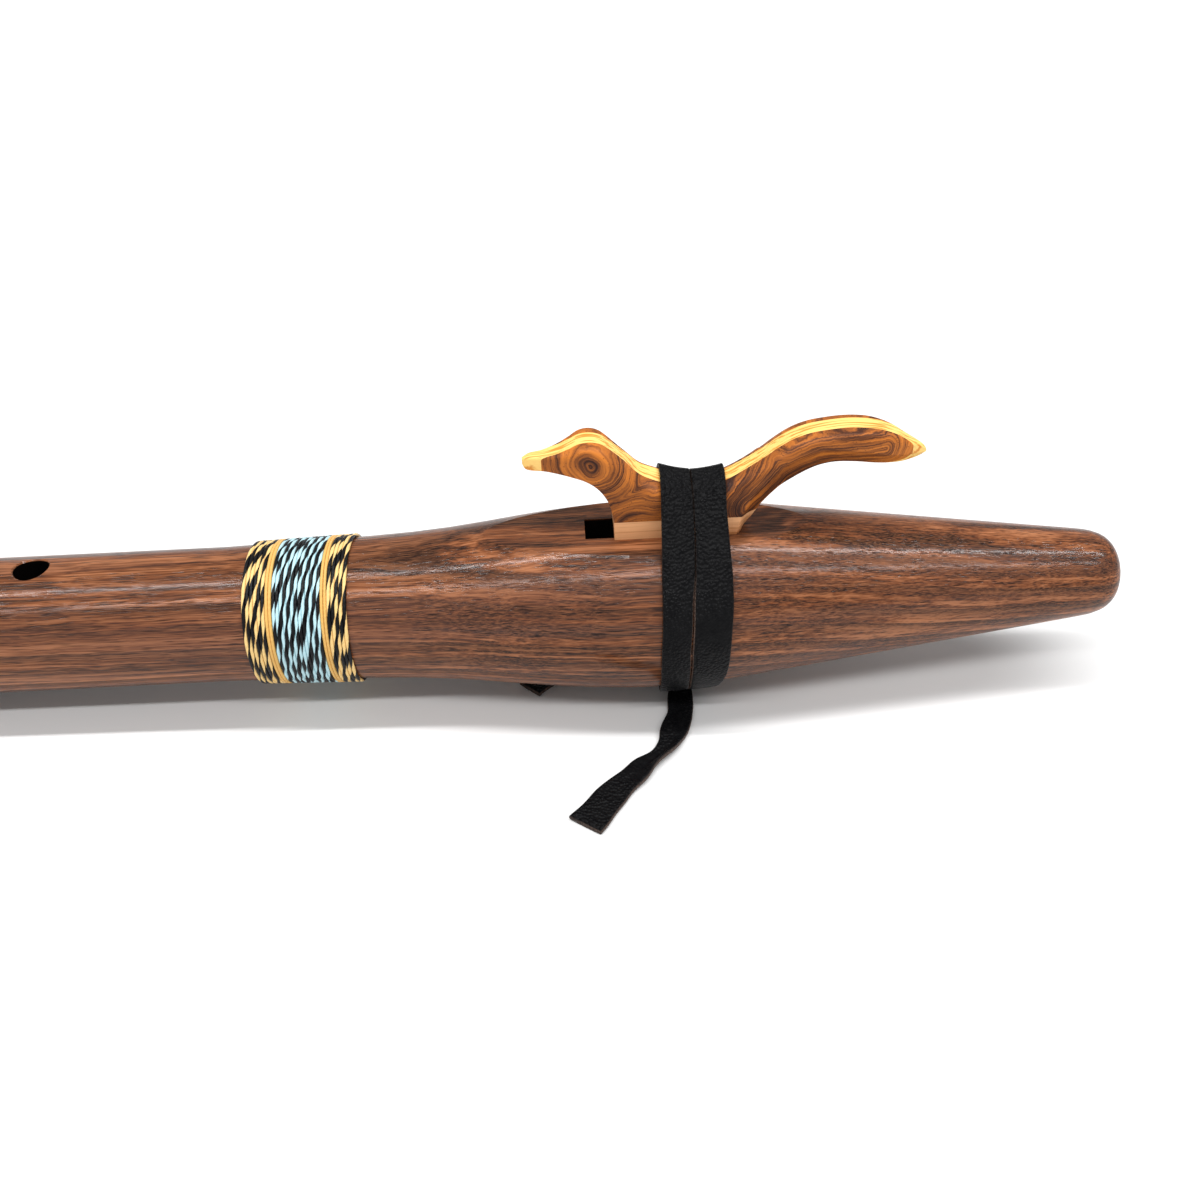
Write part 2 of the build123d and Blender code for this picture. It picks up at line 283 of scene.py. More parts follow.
def walnut():
    """Oiled walnut, sawn and turned along the grain: growth bands, streaks and open pores."""
    s = Shader("walnut")
    place = s.place()
    # the grain wanders a little on its way along the flute
    drift = s.noise(place, (140.0, 34.0, 34.0), 2.0, colour=True)
    drift = s.vector("MULTIPLY", s.vector("SUBTRACT", drift, (0.5, 0.5, 0.5)), (0.0, 5.0, 5.0))
    ripple = s.noise(place, (13.0, 9.0, 9.0), 1.0, colour=True)
    ripple = s.vector("MULTIPLY", s.vector("SUBTRACT", ripple, (0.5, 0.5, 0.5)), (0.0, 0.9, 0.9))
    grain = s.vector("ADD", s.vector("ADD", place, drift), ripple)
    grain_x, grain_y, grain_z = s.split(grain)
    # growth layers, nearly level, that dip towards the mouth end
    depth = s.math("SUBTRACT", grain_z, s.math("MULTIPLY", grain_y, LAYER_TILT))
    depth = s.math("ADD", depth, s.span(grain_x, 420.0, 540.0, 0.0, LAYER_DIP))
    # each layer grows darker outwards and then breaks off
    uneven = s.math("MULTIPLY", s.noise(s.join(0.0, 0.0, depth), (1.0, 1.0, 7.0), 1.0), 6.0)
    band = s.math("FRACT", s.math("DIVIDE", s.math("ADD", depth, uneven), GROWTH_PITCH))
    late = s.math("MULTIPLY", s.span(band, 0.25, 0.86), s.span(band, 0.90, 1.0, 1.0, 0.0))
    strength = s.span(s.noise(grain, (200.0, 16.0, 9.0), 1.0), 0.36, 0.54, 0.45, 1.0)
    late = s.math("MULTIPLY", late, strength)
    # streaks
    broad = s.noise(grain, (230.0, 7.0, 7.0), 2.0)
    lines = s.noise(s.join(grain_x, grain_y, depth), (180.0, 5.0, 0.9), 3.0, 0.6)
    fine = s.noise(grain, (34.0, 0.55, 0.55), 3.0, 0.62)
    fibre = s.noise(grain, (8.0, 0.16, 0.16), 2.0, 0.6)
    tone = s.math("ADD", s.math("MULTIPLY", broad, 0.26), s.math("MULTIPLY", lines, 0.42))
    tone = s.math("ADD", tone, s.math("MULTIPLY", fine, 0.32))
    colour = s.ramp(tone, (0.43, WALNUT["dark"]), (0.465, WALNUT["mid"]), (0.505, WALNUT["warm"]),
                    (0.575, WALNUT["pale"]))
    colour = s.mix(s.math("MULTIPLY", late, 0.88), colour, WALNUT["dark"])
    greyed = s.span(s.noise(grain, (260.0, 14.0, 14.0), 1.0), 0.5, 0.66, 0.0, 0.4)
    colour = s.mix(greyed, colour, WALNUT["grey"])
    colour = s.mix(s.span(fibre, 0.42, 0.72, 0.0, 0.5), colour, WALNUT["pale"])
    # open pores: long thin vessels, cut short where the surface crosses the grain
    pores = None
    for size, width in (((13.0, 0.62, 0.62), 0.22), ((6.0, 0.42, 0.42), 0.20)):
        shifted = s.vector("ADD", grain, (0.0, size[1] * 13.0, 0.0))
        hit = s.span(s.cells(shifted, size), width * 0.5, width * 1.6, 1.0, 0.0)
        pores = hit if pores is None else s.math("MAXIMUM", pores, hit)
    crowd = s.span(s.noise(grain, (70.0, 3.5, 3.5), 1.0), 0.30, 0.56, 0.35, 1.0)
    pores = s.math("MULTIPLY", pores, crowd)
    colour = s.mix(s.math("MULTIPLY", pores, 0.9), colour, WALNUT["pore"])
    # painted shade: the bore and the walls of the holes are painted near black, for the shade that falls
    # inside them
    x, y, z = s.split(place)
    across = s.vector("LENGTH", s.join(0.0, y, z))
    bored = s.math("MULTIPLY", s.span(across, TUBE_R - 0.5, TUBE_R - 0.2, 1.0, 0.0), s.span(x, 0.3, 1.0))
    slot = s.math("MULTIPLY", s.span(z, NEST_Z - 0.5, NEST_Z - 0.2, 1.0, 0.0), s.span(z, 0.0, 1.0))
    slot = s.math("MULTIPLY", slot, s.span(s.math("ABSOLUTE", y, 0.0), 4.6, 4.8, 1.0, 0.0))
    slot = s.math("MULTIPLY", slot, s.span(x, 391.0, 391.5))
    # mask of the painted shade inside the bore and the holes, up to x 440 to 450
    inside = s.math("MULTIPLY", s.math("MAXIMUM", bored, slot), s.span(x, 440.0, 450.0, 1.0, 0.0))
    colour = s.mix(inside, colour, WALNUT["inside"])
    roughness = s.span(fine, 0.3, 0.7, 0.27, 0.42)
    height = s.math("SUBTRACT", s.math("MULTIPLY", fibre, 0.3), pores)
    normal = s.bump(height, 0.05, 0.7)
    return s.finish(colour, roughness, normal, Specular_IOR_Level=0.06, Coat_Weight=0.30,
                    Coat_Roughness=0.10)


def plain_wood(name, pale, dark, line_size, roughness=0.42):
    """Straight-grained wood of two near colours, its lines line_size mm long, wide and high."""
    s = Shader(name)
    place = s.place()
    warp = s.vector("SUBTRACT", s.noise(place, (22.0, 9.0, 9.0), 2.0, colour=True), (0.5, 0.5, 0.5))
    grain = s.vector("ADD", place, s.vector("MULTIPLY", warp, (0.0, 1.2, 1.2)))
    lines = s.noise(grain, line_size, 3.0, 0.55)
    fibre = s.noise(grain, (5.0, 0.12, 0.12), 2.0)
    colour = s.ramp(lines, (0.40, dark), (0.50, pale), (0.75, pale))
    colour = s.mix(s.span(fibre, 0.4, 0.7, 0.0, 0.22), colour, dark)
    return s.finish(colour, roughness, s.bump(fibre, 0.03, 0.5), Specular_IOR_Level=0.3,
                    Coat_Weight=0.06, Coat_Roughness=0.3)


FIGURE = {
    "light": (0.56, 0.175, 0.027),
    "mid": (0.33, 0.100, 0.020),
    "brown": (0.125, 0.040, 0.014),
    "dark": (0.030, 0.011, 0.008),
}
HEAD_EYE = (394.6, 42.0)  # centre of the rings on the head, as (x, z)
BASE_EYE = ((406.0, 22.5), (420.0, 21.0))  # the line that the arches over the base stand on
# the line that the tail's figure follows
TAIL_EYE = ((433.0, 28.5), (441.5, 38.8), (450.0, 42.3), (465.0, 42.6))


def figured_wood():
    """Orange-brown wood with dark growth lines that ring two knots and arch over the base."""
    s = Shader("cheek_wood")
    place = s.place()
    warp = s.vector("SUBTRACT", s.noise(place, (7.0, 7.0, 7.0), 2.0, colour=True), (0.5, 0.5, 0.5))
    fuzz = s.vector("SUBTRACT", s.noise(place, (0.7, 0.7, 0.7), 2.0, colour=True), (0.5, 0.5, 0.5))
    bent = s.vector("ADD", place, s.vector("MULTIPLY", warp, (2.6, 0.0, 2.6)))
    bent = s.vector("ADD", bent, s.vector("MULTIPLY", fuzz, (0.35, 0.0, 0.35)))
    x, _, z = s.split(bent)
    flat = s.join(x, 0.0, z)

    def from_line(a, b):
        """Distance from the line between two points, given as (x, z)."""
        start = Vector((a[0], 0.0, a[1]))
        run = Vector((b[0] - a[0], 0.0, b[1] - a[1]))
        offset = s.vector("SUBTRACT", flat, start)
        made = s.node("ShaderNodeVectorMath", operation="DOT_PRODUCT")
        s.put(made.inputs[0], offset)
        s.put(made.inputs[1], run / run.length_squared)
        share = s.math("ADD", made.outputs["Value"], 0.0, clamp=True)
        scaled = s.node("ShaderNodeVectorMath", operation="SCALE")
        scaled.inputs[0].default_value = run
        s.put(scaled.inputs["Scale"], share)
        return s.vector("LENGTH", s.vector("SUBTRACT", offset, scaled.outputs[0]))

    def soft_least(a, b, ease):
        made = s.node("ShaderNodeMath", operation="SMOOTH_MIN")
        s.put(made.inputs[0], a)
        s.put(made.inputs[1], b)
        made.inputs[2].default_value = ease
        return made.outputs[0]

    head = s.vector("SUBTRACT", flat, (HEAD_EYE[0], 0.0, HEAD_EYE[1]))
    head = s.vector("LENGTH", s.vector("MULTIPLY", head, (1.0, 1.0, 1.12)))
    tail = None
    for a, b in zip(TAIL_EYE, TAIL_EYE[1:]):
        part = from_line(a, b)
        tail = part if tail is None else soft_least(tail, part, 1.0)
    tail = s.math("MULTIPLY", tail, 1.15)
    arches = s.math("ADD", s.math("MULTIPLY", from_line(*BASE_EYE), 0.9), 1.5)
    field = soft_least(soft_least(head, tail, 2.5), arches, 2.0)
    rings = s.join(field, s.math("MULTIPLY", x, 0.06), s.math("MULTIPLY", z, 0.06))
    lines = s.noise(rings, (0.42, 1.0, 1.0), 3.0, 0.65)
    broad = s.noise(rings, (2.9, 1.2, 1.2), 1.0)
    tone = s.math("ADD", s.math("MULTIPLY", lines, 0.55), s.math("MULTIPLY", broad, 0.45))
    colour = s.ramp(tone, (0.36, FIGURE["dark"]), (0.44, FIGURE["brown"]), (0.51, FIGURE["mid"]),
                    (0.62, FIGURE["light"]))
    specks = s.span(s.cells(place, (0.9, 0.9, 0.9)), 0.10, 0.22, 0.55, 0.0)
    colour = s.mix(specks, colour, FIGURE["dark"])
    height = s.math("SUBTRACT", s.noise(place, (1.5, 0.3, 0.3), 2.0), s.math("MULTIPLY", specks, 1.2))
    return s.finish(colour, s.span(tone, 0.35, 0.65, 0.52, 0.44), s.bump(height, 0.04, 0.5),
                    Specular_IOR_Level=0.12, Coat_Weight=0.06, Coat_Roughness=0.3)


def leather():
    """Soft black leather with a pebbled grain, and the raw fibre of its cut edges."""
    s = Shader("black_leather")
    place = s.place()
    pebbles = s.cells(place, (0.75, 0.75, 0.75), "SMOOTH_F1", 0.35)
    creases = s.noise(place, (2.4, 2.4, 2.4), 3.0, 0.6)
    fibres = s.noise(place, (0.25, 0.25, 0.25), 3.0, 0.7)
    raw = s.attribute("wear")
    colour = s.ramp(creases, (0.3, (0.002, 0.002, 0.0025)), (0.7, (0.005, 0.005, 0.0055)))
    colour = s.mix(s.math("MULTIPLY", raw, s.span(fibres, 0.35, 0.6, 0.0, 0.8)), colour, (0.36, 0.24, 0.19))
    worn = s.span(s.noise(place, (14.0, 14.0, 14.0), 1.0), 0.40, 0.56, 0.25, 1.0)
    height = s.math("MULTIPLY", s.math("SUBTRACT", 1.0, pebbles), worn)
    height = s.math("ADD", height, s.math("MULTIPLY", creases, 0.5))
    height = s.math("ADD", height, s.math("MULTIPLY", fibres, s.span(raw, 0.0, 1.0, 0.08, 0.8)))
    roughness = s.span(pebbles, 0.05, 0.35, 0.17, 0.45)
    normal = s.bump(height, 0.45, 1.0)
    return s.finish(colour, roughness, normal, Specular_IOR_Level=0.075)


def thread(name, first, second, period, share, seed):
    """Waxed thread. Its U is the length in mm along it and its V the way round it, 0 to 1.
    Where share is under 1, first alternates with second every period mm or so."""
    s = Shader(name, 0.5)
    along, round_it, _ = s.split(s.uv())
    fibres = s.noise(s.join(along, s.math("MULTIPLY", round_it, 3.0), seed), (1.6, 0.12, 1.0), 2.0, 0.6)
    colour = s.mix(s.span(fibres, 0.35, 0.7, 0.0, 0.35), first, tuple(c * 0.55 for c in first))
    if share < 1.0:
        slow = s.noise(s.join(along, 0.0, seed), (period * 4.5, 1.0, 1.0), 1.0)
        phase = s.math("ADD", s.math("DIVIDE", along, period), s.math("MULTIPLY", slow, 2.0))
        phase = s.math("ADD", phase, round_it)
        wave = s.math("SINE", s.math("MULTIPLY", phase, math.tau))
        wave = s.math("ADD", s.math("MULTIPLY", wave, 0.5), 0.5)
        wave = s.math("ADD", wave, s.span(fibres, 0.3, 0.7, -0.08, 0.08))
        edge = 1.0 - share
        colour = s.mix(s.span(wave, edge - 0.05, edge + 0.05), second, colour)
    plies = s.math("ADD", s.math("DIVIDE", along, 1.3), round_it)
    plies = s.math("SINE", s.math("MULTIPLY", plies, math.tau))
    height = s.math("ADD", s.math("MULTIPLY", plies, 0.35), fibres)
    return s.finish(colour, 0.42, s.bump(height, 0.07, 0.7), Specular_IOR_Level=0.2)


def floor_material():
    s = Shader("pale_floor", 0.75)
    return s.finish((0.74, 0.74, 0.74, 1.0))


def paint(piece, material):
    """Gives a piece one material."""
    piece.data.materials.clear()
    piece.data.materials.append(material)
    for face in piece.data.polygons:
        face.material_index = 0


# --- thread wraps ----------------------------------------------------------------------------
THREAD_SIDES = 10
THREAD_STEPS = 80  # per turn
THREAD_RISE = 0.95
THREAD_START = 0.8 * math.pi  # where a winding starts, as an angle from +Z towards +Y
THREAD_TUCK = 0.55  # how deep its two ends sink
THREAD_END = 0.06  # the share of a turn over which they sink
# node, from x, to x, turns, slot
WRAPS = [
    ("wrap_outer_foot", 307.8, 313.5, 6, "variegated_thread"),
    ("binding_foot", 313.5, 315.2, 2, "yellow_thread"),
    ("wrap_centre", 315.2, 327.1, 13, "turquoise_thread"),
    ("binding_mouth", 327.1, 328.7, 2, "yellow_thread"),
    ("wrap_outer_mouth", 328.7, 333.6, 5, "variegated_thread"),
]


def wound_thread(name, low, high, turns):
    """A thread wound side by side round the tube, from low to high."""
    pitch = (high - low) / turns
    rings = []
    lengths = []
    total = 0.0
    steps = turns * THREAD_STEPS
    before = None
    # its middle line, and a ring of points round each place on it
    for i in range(steps + 1):
        turn = i / THREAD_STEPS
        angle = math.tau * turn + THREAD_START
        sink = THREAD_TUCK * (1.0 - smooth(min(i, steps - i) / (THREAD_END * THREAD_STEPS)))
        x = low + pitch * turn
        x = min(max(x, low + pitch * 0.5), high - pitch * 0.5) * 0.35 + x * 0.65
        x += wander(turn * 5.0, low, 0.035)
        radius = taper_r(x) + THREAD_RISE * 0.5 - sink + wander(turn * 7.0, high, 0.02)
        out = Vector((0.0, math.sin(angle), math.cos(angle)))
        centre = Vector((x, 0.0, 0.0)) + out * radius
        if before is not None:
            total += (centre - before).length
        before = centre
        lengths.append(total)
        ring = []
        for j in range(THREAD_SIDES):
            around = math.tau * j / THREAD_SIDES
            along = Vector((math.cos(around) * pitch * 0.5, 0.0, 0.0))
            ring.append(centre + along + out * (math.sin(around) * THREAD_RISE * 0.5))
        rings.append(ring)
    points = [p for ring in rings for p in ring]
    faces = []
    uvs = []
    for i in range(steps):
        for j in range(THREAD_SIDES):
            k = (j + 1) % THREAD_SIDES
            a, b = i * THREAD_SIDES, (i + 1) * THREAD_SIDES
            faces.append((a + j, a + k, b + k, b + j))
            v0, v1 = j / THREAD_SIDES, (j + 1) / THREAD_SIDES
            uvs.append(((lengths[i], v0), (lengths[i], v1), (lengths[i + 1], v1), (lengths[i + 1], v0)))
    faces.append(tuple(range(THREAD_SIDES))[::-1])
    uvs.append([(0.0, 0.0)] * THREAD_SIDES)
    faces.append(tuple(range(steps * THREAD_SIDES, (steps + 1) * THREAD_SIDES)))
    uvs.append([(total, 0.0)] * THREAD_SIDES)
    return mesh_piece(name, points, faces, uvs)


# --- carved block ----------------------------------------------------------------------------
BASE_TOP_Z = 26.05
CORE_HALF = 1.85  # half the thickness of the yellow layer
HEEL_X = 431.8  # the base's end towards the mouth
FRONT_X = 400.0  # the base's end towards the foot
FLUE_LENGTH = 24.5
FLUE_HALF = 4.5
FLUE_DEPTH = 1.0
CREST_ROUND = 0.12  # how far the top falls away to its edges
FAR_TRIM = 0.78  # the tail's top is this much narrower on its far side, past FAR_TRIM_X
FAR_TRIM_X = 436.0
# points on each side of a section: on its top, round its shoulder, and down its side and its keel
TOP_POINTS = 7
SHOULDER_POINTS = 12
SIDE_POINTS = 8
# each table below is a curve of (x, value)
# height of the middle of the top
CREST = [
    (378.4, 42.4), (379.9, 43.1), (383.2, 43.4), (386.9, 44.3), (389.6, 45.4), (392.0, 46.6),
    (394.5, 47.0), (397.0, 46.5), (399.0, 45.2), (402.9, 41.7), (406.6, 38.1), (411.3, 35.9),
    (415.5, 34.4), (419.8, 33.8), (424.0, 34.2), (428.0, 35.5), (433.2, 38.5), (436.6, 40.8),
    (439.8, 43.2), (443.0, 45.2), (446.3, 46.5), (449.6, 47.2), (456.0, 47.8), (461.0, 47.5),
    (464.5, 46.8), (468.0, 45.5), (471.5, 43.5), (474.2, 42.0), (475.6, 41.0), (476.2, 40.3),
    (476.4, 39.9),
]
# slope of the top, up towards +Y
CREST_LEAN = [
    (378.4, 0.0), (383.0, 0.08), (390.0, 0.20), (398.0, 0.16), (402.0, 0.16), (405.5, 0.30),
    (411.0, 0.40), (420.0, 0.38), (428.0, 0.28), (433.0, 0.17), (456.0, 0.17), (462.0, 0.20),
    (472.0, 0.12), (476.4, 0.0),
]
# height of the underside, in front of the base
THROAT = [
    (378.4, 41.0), (378.9, 40.0), (380.2, 39.6), (385.5, 39.3), (391.0, 38.4), (394.1, 37.3),
    (396.6, 35.3), (398.5, 32.4), (399.4, 29.6), (399.9, 26.6),
]
# height of the underside, behind the base
UNDERSIDE = [
    (431.8, 21.05), (434.2, 23.9), (436.6, 27.6), (440.5, 32.0), (443.6, 34.3), (446.9, 36.3),
    (450.1, 37.7), (454.0, 38.4), (458.9, 38.2), (464.1, 37.55), (469.3, 37.35), (472.6, 37.7),
    (475.0, 38.3), (476.0, 38.8), (476.4, 39.3),
]
# half of the greatest width
HALF_WIDTH = [
    (378.4, 0.55), (379.2, 1.1), (380.5, 1.5), (383.0, 1.85), (385.5, 2.6), (388.0, 3.4),
    (391.0, 4.3), (394.0, 4.95), (398.0, 5.4), (402.0, 5.5), (450.0, 5.5), (456.0, 5.4),
    (461.0, 4.95), (465.0, 4.3), (468.0, 3.55), (470.5, 2.75), (472.6, 1.85), (474.7, 1.2),
    (475.8, 0.9), (476.4, 0.5),
]
# half of the width of the flat top
CREST_HALF = [
    (378.4, 0.4), (380.5, 1.1), (383.0, 1.5), (386.0, 2.1), (390.0, 3.0), (392.5, 3.6),
    (396.0, 3.7), (399.0, 3.0), (402.0, 2.35), (406.0, 2.0), (428.0, 2.0), (433.0, 2.2),
    (437.0, 2.6), (441.0, 3.2), (446.0, 3.9), (452.0, 4.1), (458.0, 4.0), (462.0, 3.7),
    (466.0, 3.0), (470.0, 2.0), (473.0, 1.2), (476.4, 0.3),
]
# height of the round shoulder between the top and the sides
SHOULDER = [
    (378.4, 0.6), (384.0, 1.0), (390.0, 2.0), (396.0, 2.8), (402.0, 3.4), (411.0, 4.0),
    (428.0, 4.0), (436.0, 3.2), (441.0, 2.8), (446.0, 2.8), (456.0, 3.2), (464.0, 2.8),
    (470.0, 1.8), (476.4, 0.2),
]
# height at which the sides start to close in towards the keel under the tail
KEEL_TOP = [
    (430.4, 21.3), (431.3, 25.9), (433.0, 29.8), (434.4, 32.6), (436.9, 35.2), (438.6, 37.4),
    (440.7, 39.6), (443.9, 42.0), (447.2, 43.2), (450.4, 43.7), (455.0, 43.4), (460.9, 42.2),
    (463.7, 41.4), (468.0, 40.3), (472.6, 39.6), (476.4, 39.25),
]
# half of the width of that keel
KEEL_HALF = [
    (430.4, 5.5), (431.3, 4.2), (432.4, 2.4), (434.0, 1.95), (465.0, 1.9), (470.0, 1.5),
    (473.0, 0.9), (476.4, 0.1),
]


def block_bottom(x):
    """Height of the underside of the block at x."""
    if x < FRONT_X:
        return curve_value(THROAT, x)
    return NEST_Z if x <= HEEL_X else curve_value(UNDERSIDE, x)


def block_section(x):
    """The carved section at x as (y, z), from the middle of its crest down its far side, y > 0, to
    the bottom, and back up its near side."""
    bottom = block_bottom(x)
    crest = curve_value(CREST, x)
    lean = curve_value(CREST_LEAN, x)
    wide = curve_value(HALF_WIDTH, x)
    top_half = min(curve_value(CREST_HALF, x), wide * 0.92)
    keeled = x > KEEL_TOP[0][0]
    sides = []
    for side in (1.0, -1.0):
        flat = top_half * (FAR_TRIM if side > 0.0 and x > FAR_TRIM_X else 1.0)
        edge_z = crest + lean * side * flat - CREST_ROUND
        keel_z = curve_value(KEEL_TOP, x) if keeled else bottom
        keel_half = min(curve_value(KEEL_HALF, x), wide * 0.9) if keeled else wide
        low_z = max(keel_z, bottom)
        side_z = max(edge_z - curve_value(SHOULDER, x), lerp(low_z, edge_z, 0.12))
        half = []
        for i in range(TOP_POINTS):
            t = i / TOP_POINTS
            y = flat * t
            half.append((y, crest + lean * side * y - CREST_ROUND * t**2))
        control = (wide, lerp(edge_z, side_z, 0.34))
        for i in range(SHOULDER_POINTS):
            t = i / SHOULDER_POINTS
            y = (1 - t) ** 2 * flat + 2 * t * (1 - t) * control[0] + t * t * wide
            z = (1 - t) ** 2 * edge_z + 2 * t * (1 - t) * control[1] + t * t * side_z
            half.append((y, z))
        for i in range(SIDE_POINTS):
            half.append((wide, lerp(side_z, low_z, i / SIDE_POINTS)))
        for i in range(SIDE_POINTS):
            t = i / SIDE_POINTS
            half.append((lerp(wide, keel_half, t), lerp(low_z, bottom, t)))
        # the bottom, with the flue or without: six points either way
        if FRONT_X <= x < FRONT_X + FLUE_LENGTH:
            half += [(wide, bottom), (FLUE_HALF, bottom)]
            half += [(FLUE_HALF * (1.0 - i / 3), bottom + FLUE_DEPTH) for i in range(4)]
        else:
            half += [(keel_half * (1.0 - i / 5), bottom) for i in range(6)]
        sides.append([(side * y, z) for y, z in half])
    far, near = sides
    return far + near[-2:0:-1]


def block_stations():
    """Where the sections of the block are taken along it, closer together at its ends and corners."""
    stations = []
    flue_end = FRONT_X + FLUE_LENGTH
    # from x, to x, and the number of steps
    spans = ((378.4, 380.6, 10), (380.6, 398.4, 44), (398.4, 399.98, 12), (400.0, flue_end - 0.02, 41),
             (flue_end, 429.9, 9), (430.0, 434.6, 30), (434.6, 470.0, 84), (470.0, 476.38, 30))
    for low, high, count in spans:
        stations += [lerp(low, high, i / count) for i in range(count + 1)]
    return sorted(set(stations))


def cut(mesh_data, at, direction):
    """Keeps what lies behind a plane, and closes the cut."""
    whole = mesh_data.verts[:] + mesh_data.edges[:] + mesh_data.faces[:]
    result = bmesh.ops.bisect_plane(mesh_data, geom=whole, plane_co=Vector(at) * MM,
                                    plane_no=direction, clear_outer=True, dist=1e-8)
    rim = [item for item in result["geom_cut"] if isinstance(item, bmesh.types.BMEdge)]
    bmesh.ops.triangle_fill(mesh_data, edges=rim, use_beauty=True)


def block_layer(name, cuts):
    """One glued layer of the block: the whole carving, cut by planes given as (point, direction)."""
    rings = [[(x, y, z) for y, z in block_section(x)] for x in block_stations()]
    points = [p for ring in rings for p in ring]
    piece = mesh_piece(name, points, skin(rings, False))
    work = bmesh.new()
    work.from_mesh(piece.data)
    for at, direction in cuts:
        cut(work, at, direction)
    bmesh.ops.remove_doubles(work, verts=work.verts[:], dist=2e-6)
    bmesh.ops.recalc_face_normals(work, faces=work.faces[:])
    work.to_mesh(piece.data)
    work.free()
    piece.data.polygons.foreach_set("use_smooth", [True] * len(piece.data.polygons))
    piece.data.set_sharp_from_angle(angle=math.radians(38.0))
    return piece


# --- leather lace ----------------------------------------------------------------------------
LACE_THICKNESS = 1.4
LACE_SIDES = 14  # points across the lace, on each of its faces
LACE_CLEARANCE = 0.14
LACE_CROWN = 0.14  # how far its grain side falls away to its edges
LOOP_STEP = 0.5  # how far apart the outlines are that the turns are laid on
# edges of the two turns: where they lie along the flute, by the angle from the top of the block
FRONT_EDGE = [
    (0.0, 411.5), (14.0, 411.2), (45.0, 410.6), (90.0, 410.0), (130.0, 410.2), (180.0, 411.2),
]
SEAM_FRONT = [
    (0.0, 419.24), (25.0, 419.18), (45.0, 418.68), (60.0, 417.85), (90.0, 417.25), (115.0, 417.5),
    (140.0, 417.9), (180.0, 418.2),
]
SEAM_REAR = [
    (0.0, 419.25), (25.0, 419.2), (45.0, 418.75), (60.0, 418.25), (90.0, 417.65), (115.0, 417.65),
    (140.0, 418.0), (180.0, 418.3),
]
REAR_EDGE = [
    (0.0, 427.5), (14.0, 427.2), (45.0, 427.9), (60.0, 427.8), (90.0, 427.2), (112.0, 426.9),
    (128.0, 425.9), (150.0, 424.2), (180.0, 423.6),
]
CUT_WANDER = 0.5  # how far the cut edges of a tail wander
CURL = 0.35  # how far a tail lifts off the floor here and there
KNOT_X = 418.7
KNOT_HALF = (5.6, 7.4)  # along the flute and across it
KNOT_TOP = -26.38
KNOT_GAP = 0.02  # between the knot and the floor
LONG_TAIL_WIDTH = 8.0
SHORT_TAIL_WIDTH = 7.6
LONG_TAIL = [
    (416.8, -7.5), (416.8, -14.5), (414.2, -23.0), (410.9, -31.5), (403.3, -38.0),
    (396.9, -44.5), (389.4, -55.2),
]
SHORT_TAIL = [
    (420.5, 7.5), (420.5, 15.5), (414.0, 21.5), (404.0, 19.5), (393.5, 12.5),
    (385.0, 3.6), (376.2, -6.2),
]


def lace_section(low, high):
    """The outline of a flat lace as (across from -1 to 1, height, rawness), round from one edge.
    The grain side is a little crowned, and the edges are rounded."""
    points = []
    for i in range(LACE_SIDES):
        across = lerp(-0.93, 0.93, i / (LACE_SIDES - 1))
        points.append((across, high - LACE_CROWN * across**2, 0.0))
    edge = [(0.965, high - 0.22, 0.5), (0.99, high - 0.5, 1.0), (1.0, lerp(low, high, 0.45), 1.0),
            (0.985, low + 0.25, 1.0)]
    points += edge
    for i in range(LACE_SIDES):
        points.append((lerp(0.93, -0.93, i / (LACE_SIDES - 1)), low, 0.8))
    points += [(-across, height, raw) for across, height, raw in reversed(edge)]
    return points


def skin(rings, closed):
    """Faces between rings of equal count, capped unless closed."""
    count = len(rings[0])
    faces = []
    last = len(rings) if closed else len(rings) - 1
    for i in range(last):
        a, b = i * count, ((i + 1) % len(rings)) * count
        for j in range(count):
            k = (j + 1) % count
            faces.append((a + j, b + j, b + k, a + k))
    if not closed:
        faces.append(tuple(range(count)))
        faces.append(tuple(range((len(rings) - 1) * count, len(rings) * count))[::-1])
    return faces


class LoopShape:
    """The taut outline at x round the block and the belly, as distances from the bore's centre."""

    normals = [math.radians(2.0 * k) for k in range(180)]

    def __init__(self, x):
        belly = max(curve_value(BELLY, x), curve_value(BELLY, x - 2.0)) + LACE_CLEARANCE
        section = block_section(min(max(x, FRONT_X + 0.1), 430.0))
        self.reach = []
        for n in self.normals:
            out_y, out_z = math.sin(n), math.cos(n)
            self.reach.append(max(belly, max(y * out_y + z * out_z for y, z in section) + LACE_CLEARANCE))

    def radius(self, angle, spare):
        """Distance from the centre at an angle from +Z towards +Y, spare mm out from the block."""
        best = 1e9
        for n, reach in zip(self.normals, self.reach):
            facing = math.cos(angle - n)
            if facing > 0.15:
                best = min(best, (reach + spare) / facing)
        return best


def turn_angles():
    """The angles, in degrees from the top, at which a turn's sections are taken: close together on
    the block, wide apart round the belly, from 0 all the way round."""
    half = [0.7 * i for i in range(30)] + [21.0 + 3.0 * i for i in range(54)]
    return half + [360.0 - a for a in reversed(half[1:-1])]


